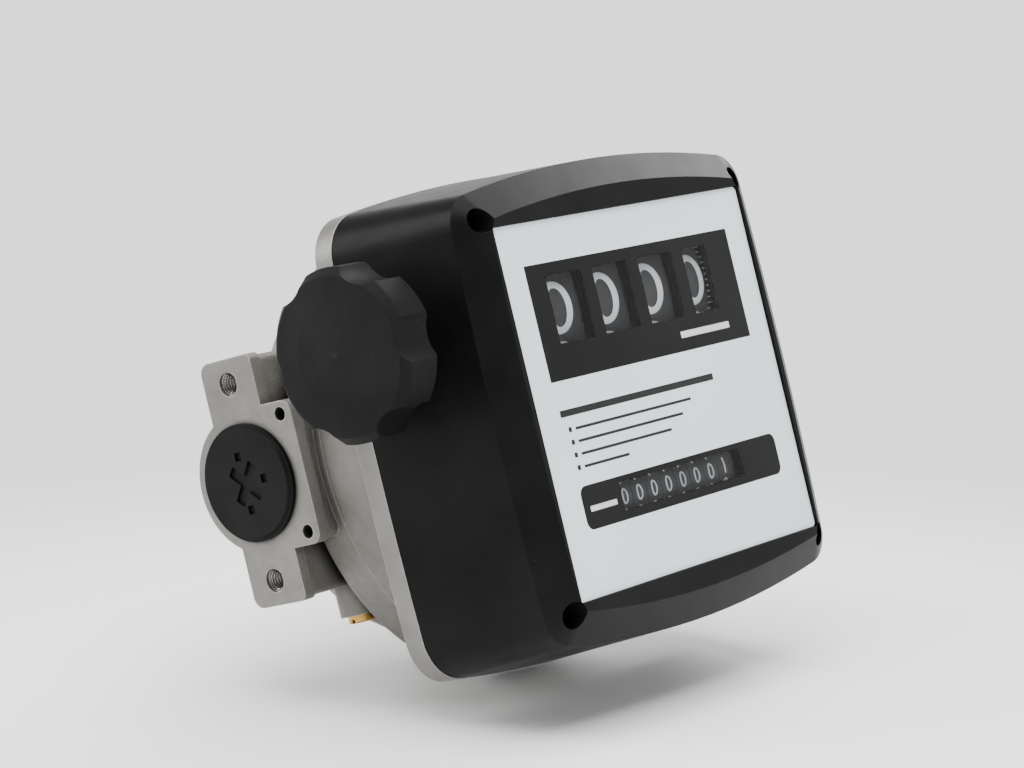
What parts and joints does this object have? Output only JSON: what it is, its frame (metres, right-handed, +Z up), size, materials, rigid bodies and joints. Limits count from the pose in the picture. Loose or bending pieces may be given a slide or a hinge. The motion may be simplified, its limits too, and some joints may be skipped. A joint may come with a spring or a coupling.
{
  "type": "mechanical disc flow meter",
  "caption": "Mechanical flow meter with a nutating disc chamber, side ports with screw plugs, a dial cover with resettable number wheels, a totaliser and a side reset knob.",
  "frame": {"origin": "centre of the back mounting face, on the chamber axis", "axes": "+X from inlet to outlet, +Y out of the back face, away from the dial, +Z up"},
  "size_m": [0.2059, 0.129, 0.166],
  "materials": {
    "cast_alloy": "fine sand-cast grain, machined edges",
    "machined_alloy": "machined",
    "zinc_steel": "zinc plated",
    "nitrile": "matt",
    "grey_plastic": "moulded",
    "brass": "turned",
    "chamber_plastic": "moulded",
    "disc_plastic": "moulded",
    "gear_plastic": "moulded",
    "wheel_plastic": "satin",
    "cover_plastic": "satin gloss",
    "knob_plastic": "fine grain",
    "dial_glass": "printed behind",
    "frame_steel": "black"
  },
  "bodies": {
    "housing": {"meter_body": "cast_alloy", "gear_housing": "cast_alloy", "base_plate": "machined_alloy", "body_seal": "nitrile", "body_screw_1": "zinc_steel", "body_screw_2": "zinc_steel", "body_screw_3": "zinc_steel", "body_screw_4": "zinc_steel", "inlet_plug": "grey_plastic", "outlet_plug": "grey_plastic", "inlet_strainer": "zinc_steel", "calibration_plug": "brass", "chamber_base": "chamber_plastic", "chamber_lid": "chamber_plastic", "partition_plate": "machined_alloy", "shaft_seal": "nitrile", "shaft_bush": "brass", "counter_cover": "cover_plastic", "faceplate": "dial_glass", "cover_screw_1": "zinc_steel", "cover_screw_2": "zinc_steel", "cover_screw_3": "zinc_steel", "cover_screw_4": "zinc_steel", "carry_rod": "zinc_steel", "total_spacer_left": "frame_steel", "total_spacer_right": "frame_steel", "side_plate_left": "frame_steel", "side_plate_right": "frame_steel", "train_plate": "frame_steel", "bearing_left": "frame_steel", "bearing_right": "frame_steel", "knob_bush": "knob_plastic"},
    "drive_crank": {"drive_crank": "zinc_steel", "drive_worm": "brass"},
    "nutating_disc": {"nutating_disc": "disc_plastic"},
    "cross_shaft": {"cross_shaft": "zinc_steel", "worm_wheel": "gear_plastic"},
    "lay_shaft": {"lay_shaft": "gear_plastic"},
    "return_shaft": {"return_shaft": "gear_plastic"},
    "total_idler": {"total_idler": "gear_plastic"},
    "number_wheel_1": {"number_wheel_1": "wheel_plastic"},
    "number_wheel_2": {"number_wheel_2": "wheel_plastic"},
    "number_wheel_3": {"number_wheel_3": "wheel_plastic"},
    "number_wheel_4": {"number_wheel_4": "wheel_plastic", "counter_gear": "gear_plastic"},
    "carry_pinion_1": {"carry_pinion_1": "gear_plastic"},
    "carry_pinion_2": {"carry_pinion_2": "gear_plastic"},
    "carry_pinion_3": {"carry_pinion_3": "gear_plastic"},
    "total_wheel_1": {"total_wheel_1": "wheel_plastic"},
    "total_wheel_2": {"total_wheel_2": "wheel_plastic"},
    "total_wheel_3": {"total_wheel_3": "wheel_plastic"},
    "total_wheel_4": {"total_wheel_4": "wheel_plastic"},
    "total_wheel_5": {"total_wheel_5": "wheel_plastic"},
    "total_wheel_6": {"total_wheel_6": "wheel_plastic"},
    "total_wheel_7": {"total_wheel_7": "wheel_plastic"},
    "total_wheel_8": {"total_wheel_8": "wheel_plastic", "total_shaft": "zinc_steel"},
    "reset_knob": {"reset_knob": "knob_plastic", "reset_shaft": "zinc_steel"}
  },
  "joints": [
    {"name": "crank_spin", "type": "hinge", "parent": "housing", "child": "drive_crank", "pos_m": [0, -0.0245, 0], "axis": [0, -1, 0], "continuous": true},
    {"name": "disc_nutation", "type": "hinge", "parent": "drive_crank", "child": "nutating_disc", "pos_m": [0, -0.0245, 0], "axis": [0, -0.9744, -0.225], "continuous": true},
    {"name": "cross_spin", "type": "hinge", "parent": "housing", "child": "cross_shaft", "pos_m": [0, -0.0692, -0.0145], "axis": [1, 0, 0], "continuous": true},
    {"name": "lay_spin", "type": "hinge", "parent": "housing", "child": "lay_shaft", "pos_m": [0, -0.08584, 0.00279], "axis": [1, 0, 0], "continuous": true},
    {"name": "return_spin", "type": "hinge", "parent": "housing", "child": "return_shaft", "pos_m": [0, -0.09296, -0.02013], "axis": [1, 0, 0], "continuous": true},
    {"name": "idler_spin", "type": "hinge", "parent": "housing", "child": "total_idler", "pos_m": [0, -0.09664, -0.03775], "axis": [1, 0, 0], "continuous": true},
    {"name": "number_wheel_1_spin", "type": "hinge", "parent": "housing", "child": "number_wheel_1", "pos_m": [-0.0372, -0.0933, 0.03185], "axis": [1, 0, 0], "continuous": true},
    {"name": "number_wheel_2_spin", "type": "hinge", "parent": "housing", "child": "number_wheel_2", "pos_m": [-0.0124, -0.0933, 0.03185], "axis": [1, 0, 0], "continuous": true},
    {"name": "number_wheel_3_spin", "type": "hinge", "parent": "housing", "child": "number_wheel_3", "pos_m": [0.0124, -0.0933, 0.03185], "axis": [1, 0, 0], "continuous": true},
    {"name": "number_wheel_4_spin", "type": "hinge", "parent": "housing", "child": "number_wheel_4", "pos_m": [0.0372, -0.0933, 0.03185], "axis": [1, 0, 0], "continuous": true},
    {"name": "carry_pinion_1_spin", "type": "hinge", "parent": "housing", "child": "carry_pinion_1", "pos_m": [-0.0278, -0.097, -0.00155], "axis": [1, 0, 0], "continuous": true},
    {"name": "carry_pinion_2_spin", "type": "hinge", "parent": "housing", "child": "carry_pinion_2", "pos_m": [-0.003, -0.097, -0.00155], "axis": [1, 0, 0], "continuous": true},
    {"name": "carry_pinion_3_spin", "type": "hinge", "parent": "housing", "child": "carry_pinion_3", "pos_m": [0.0218, -0.097, -0.00155], "axis": [1, 0, 0], "continuous": true},
    {"name": "total_wheel_1_spin", "type": "hinge", "parent": "housing", "child": "total_wheel_1", "pos_m": [-0.02817, -0.1137, -0.032], "axis": [1, 0, 0], "continuous": true},
    {"name": "total_wheel_2_spin", "type": "hinge", "parent": "housing", "child": "total_wheel_2", "pos_m": [-0.02013, -0.1137, -0.032], "axis": [1, 0, 0], "continuous": true},
    {"name": "total_wheel_3_spin", "type": "hinge", "parent": "housing", "child": "total_wheel_3", "pos_m": [-0.01208, -0.1137, -0.032], "axis": [1, 0, 0], "continuous": true},
    {"name": "total_wheel_4_spin", "type": "hinge", "parent": "housing", "child": "total_wheel_4", "pos_m": [-0.00402, -0.1137, -0.032], "axis": [1, 0, 0], "continuous": true},
    {"name": "total_wheel_5_spin", "type": "hinge", "parent": "housing", "child": "total_wheel_5", "pos_m": [0.00402, -0.1137, -0.032], "axis": [1, 0, 0], "continuous": true},
    {"name": "total_wheel_6_spin", "type": "hinge", "parent": "housing", "child": "total_wheel_6", "pos_m": [0.01208, -0.1137, -0.032], "axis": [1, 0, 0], "continuous": true},
    {"name": "total_wheel_7_spin", "type": "hinge", "parent": "housing", "child": "total_wheel_7", "pos_m": [0.02013, -0.1137, -0.032], "axis": [1, 0, 0], "continuous": true},
    {"name": "total_wheel_8_spin", "type": "hinge", "parent": "housing", "child": "total_wheel_8", "pos_m": [0.02817, -0.1137, -0.032], "axis": [1, 0, 0], "continuous": true},
    {"name": "reset_spin", "type": "hinge", "parent": "housing", "child": "reset_knob", "pos_m": [-0.096, -0.0933, 0.03185], "axis": [-1, 0, 0], "continuous": true}
  ],
  "couplings": [
    {"joint": "crank_spin", "follows": "cross_spin", "ratio": -20},
    {"joint": "disc_nutation", "follows": "cross_spin", "ratio": 20},
    {"joint": "lay_spin", "follows": "cross_spin", "ratio": -0.5},
    {"joint": "return_spin", "follows": "cross_spin", "ratio": 0.1},
    {"joint": "idler_spin", "follows": "cross_spin", "ratio": -0.125},
    {"joint": "number_wheel_4_spin", "follows": "cross_spin", "ratio": 0.1},
    {"joint": "number_wheel_3_spin", "follows": "cross_spin", "ratio": 0.01},
    {"joint": "number_wheel_2_spin", "follows": "cross_spin", "ratio": 0.001},
    {"joint": "number_wheel_1_spin", "follows": "cross_spin", "ratio": 0.0001},
    {"joint": "carry_pinion_3_spin", "follows": "cross_spin", "ratio": -0.06},
    {"joint": "carry_pinion_2_spin", "follows": "cross_spin", "ratio": -0.006},
    {"joint": "carry_pinion_1_spin", "follows": "cross_spin", "ratio": -0.0006},
    {"joint": "total_wheel_8_spin", "follows": "cross_spin", "ratio": 0.1},
    {"joint": "total_wheel_7_spin", "follows": "cross_spin", "ratio": 0.01},
    {"joint": "total_wheel_6_spin", "follows": "cross_spin", "ratio": 0.001},
    {"joint": "total_wheel_5_spin", "follows": "cross_spin", "ratio": 0.0001},
    {"joint": "total_wheel_4_spin", "follows": "cross_spin", "ratio": 0.00001},
    {"joint": "total_wheel_3_spin", "follows": "cross_spin", "ratio": 0.000001},
    {"joint": "total_wheel_2_spin", "follows": "cross_spin", "ratio": 0.0000001},
    {"joint": "total_wheel_1_spin", "follows": "cross_spin", "ratio": 0.00000001}
  ]
}
